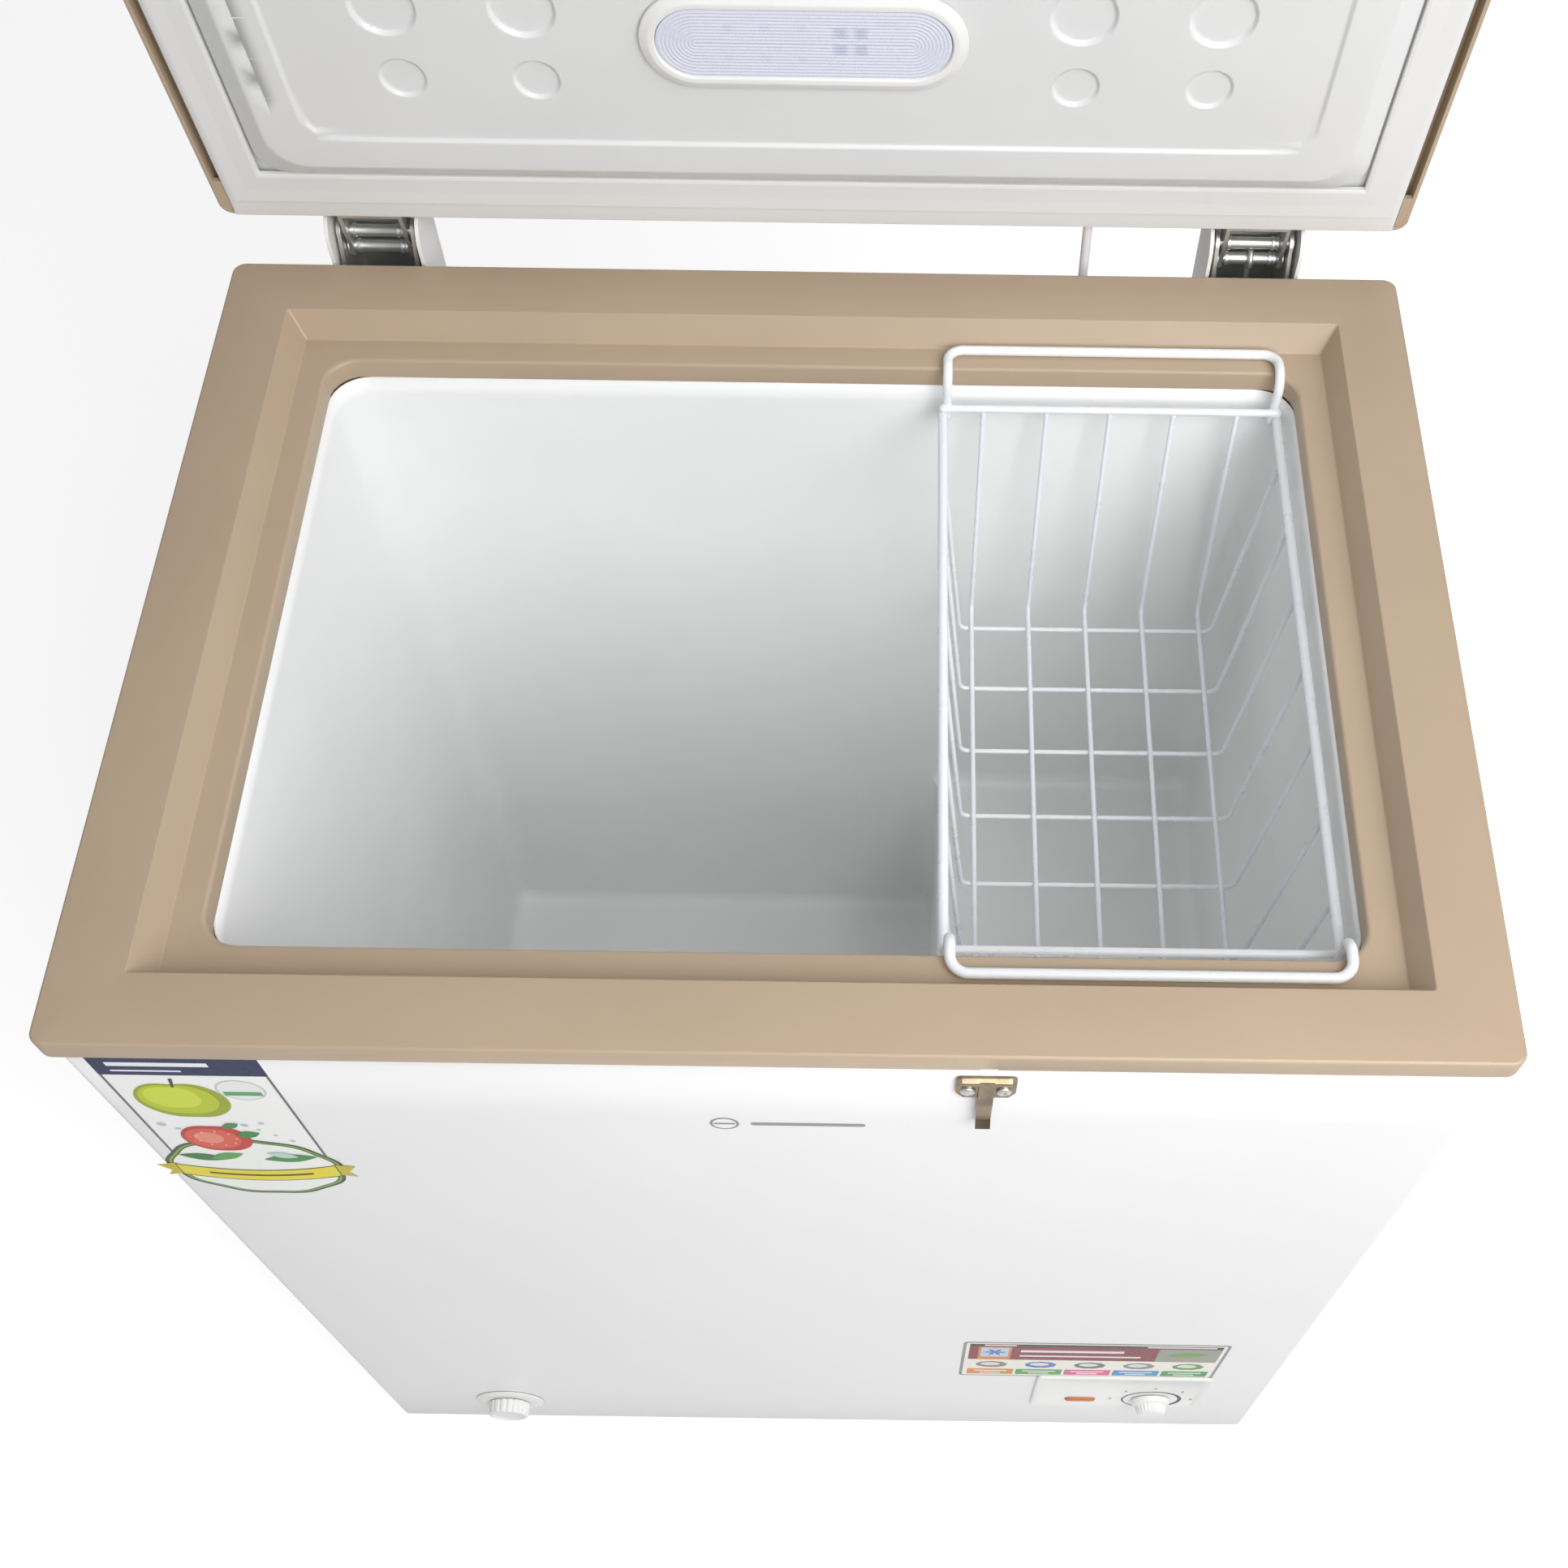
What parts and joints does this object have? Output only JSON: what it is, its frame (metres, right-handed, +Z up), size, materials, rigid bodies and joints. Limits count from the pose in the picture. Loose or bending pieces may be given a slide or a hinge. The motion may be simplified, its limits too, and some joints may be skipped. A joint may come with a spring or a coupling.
{
  "type": "chest freezer",
  "caption": "Chest freezer with a hinged insulated lid, recessed moulded collar, stepped inner liner, hanging wire basket, key lock, drain and thermostat.",
  "frame": {"origin": "on the floor, under the middle of the whole freezer's box with its lid standing open", "axes": "+X to the right as seen from the front, +Y to the back, +Z up"},
  "size_m": [0.735, 0.6106, 1.3997],
  "materials": {
    "beige_plastic": "satin",
    "painted_steel": "gloss",
    "zinc_steel": "satin",
    "black_plastic": "matte",
    "liner_plastic": "satin",
    "foam": "matte",
    "white_plastic": "satin",
    "black_rubber": "matte",
    "copper": "satin",
    "black_enamel": "satin",
    "amber_lens": "gloss",
    "nickel_steel": "polished",
    "cable_sheath": "satin",
    "gasket_vinyl": "satin",
    "diffuser": "satin",
    "circuit_board": "satin",
    "coated_wire": "gloss"
  },
  "bodies": {
    "cabinet": {"cabinet_wrapper": "painted_steel", "back_panel": "painted_steel", "bottom_pan": "zinc_steel", "compressor_tray": "zinc_steel", "foot_front_left": "black_plastic", "foot_rear_left": "black_plastic", "foot_front_right": "black_plastic", "foot_rear_right": "black_plastic", "collar": "beige_plastic", "inner_liner": "liner_plastic", "foam_insulation": "foam", "drain_tube": "white_plastic", "drain_plug": "black_rubber", "drain_escutcheon": "white_plastic", "evaporator_coil": "copper", "condenser_coil": "copper", "compressor": "black_enamel", "compressor_mount_1": "black_rubber", "compressor_mount_2": "black_rubber", "compressor_mount_3": "black_rubber", "compressor_mount_4": "black_rubber", "suction_pipe": "copper", "filter_drier": "copper", "control_panel": "white_plastic", "run_lamp": "amber_lens", "thermostat": "zinc_steel", "rear_grille": "black_plastic", "cord_gland": "black_plastic", "lock_catch": "nickel_steel", "catch_screw_left": "zinc_steel", "catch_screw_right": "zinc_steel", "hinge_bracket_left": "zinc_steel", "hinge_cover_left": "white_plastic", "hinge_pin_left": "zinc_steel", "hinge_bracket_right": "zinc_steel", "hinge_cover_right": "white_plastic", "hinge_pin_right": "zinc_steel", "lid_spring": "zinc_steel", "cable_gland": "white_plastic", "lamp_cable": "cable_sheath"},
    "lid": {"lid_leaf_left": "zinc_steel", "spring_pin_left": "zinc_steel", "lid_leaf_right": "zinc_steel", "spring_pin_right": "zinc_steel", "lid_frame": "beige_plastic", "lid_top_panel": "painted_steel", "lid_gasket": "gasket_vinyl", "lid_inner_panel": "liner_plastic", "lid_foam": "foam", "lamp_bezel": "white_plastic", "lamp_lens": "diffuser", "lamp_board": "circuit_board", "lid_handle": "beige_plastic"},
    "counterbalance_rod": {"spring_rod": "zinc_steel", "rod_nut": "zinc_steel"},
    "basket": {"basket": "coated_wire"},
    "knob": {"thermostat_knob": "white_plastic"},
    "drain_cap": {"drain_cap": "white_plastic"},
    "lock": {"lock_cylinder": "nickel_steel"}
  },
  "joints": [
    {"name": "lid_hinge", "type": "hinge", "parent": "cabinet", "child": "lid", "pos_m": [0, 0.26995, 0.811], "axis": [-1, 0, 0], "range_deg": [-82.5, 0], "deforming": ["lid_spring"]},
    {"name": "rod_swing", "type": "hinge", "parent": "lid", "child": "counterbalance_rod", "pos_m": [0.277, 0.26995, 0.799], "axis": [-1, 0, 0], "range_deg": [0, 88.8]},
    {"name": "basket_slide", "type": "slide", "parent": "cabinet", "child": "basket", "axis": [1, 0, 0], "range_m": [-0.375, 0]},
    {"name": "thermostat_turn", "type": "hinge", "parent": "cabinet", "child": "knob", "pos_m": [0.271, -0.29805, 0.129], "axis": [0, -1, 0], "range_deg": [0, 280]},
    {"name": "drain_cap_turn", "type": "hinge", "parent": "cabinet", "child": "drain_cap", "pos_m": [-0.26, -0.29805, 0.09], "axis": [0, -1, 0], "range_deg": [0, 540]},
    {"name": "lock_turn", "type": "hinge", "parent": "lid", "child": "lock", "pos_m": [0.104, 0.12148, 1.37948], "axis": [0, -0.1305, 0.9914], "range_deg": [0, 90]}
  ],
  "couplings": [
    {"joint": "rod_swing", "follows": "lid_hinge", "ratio": -1.075}
  ]
}
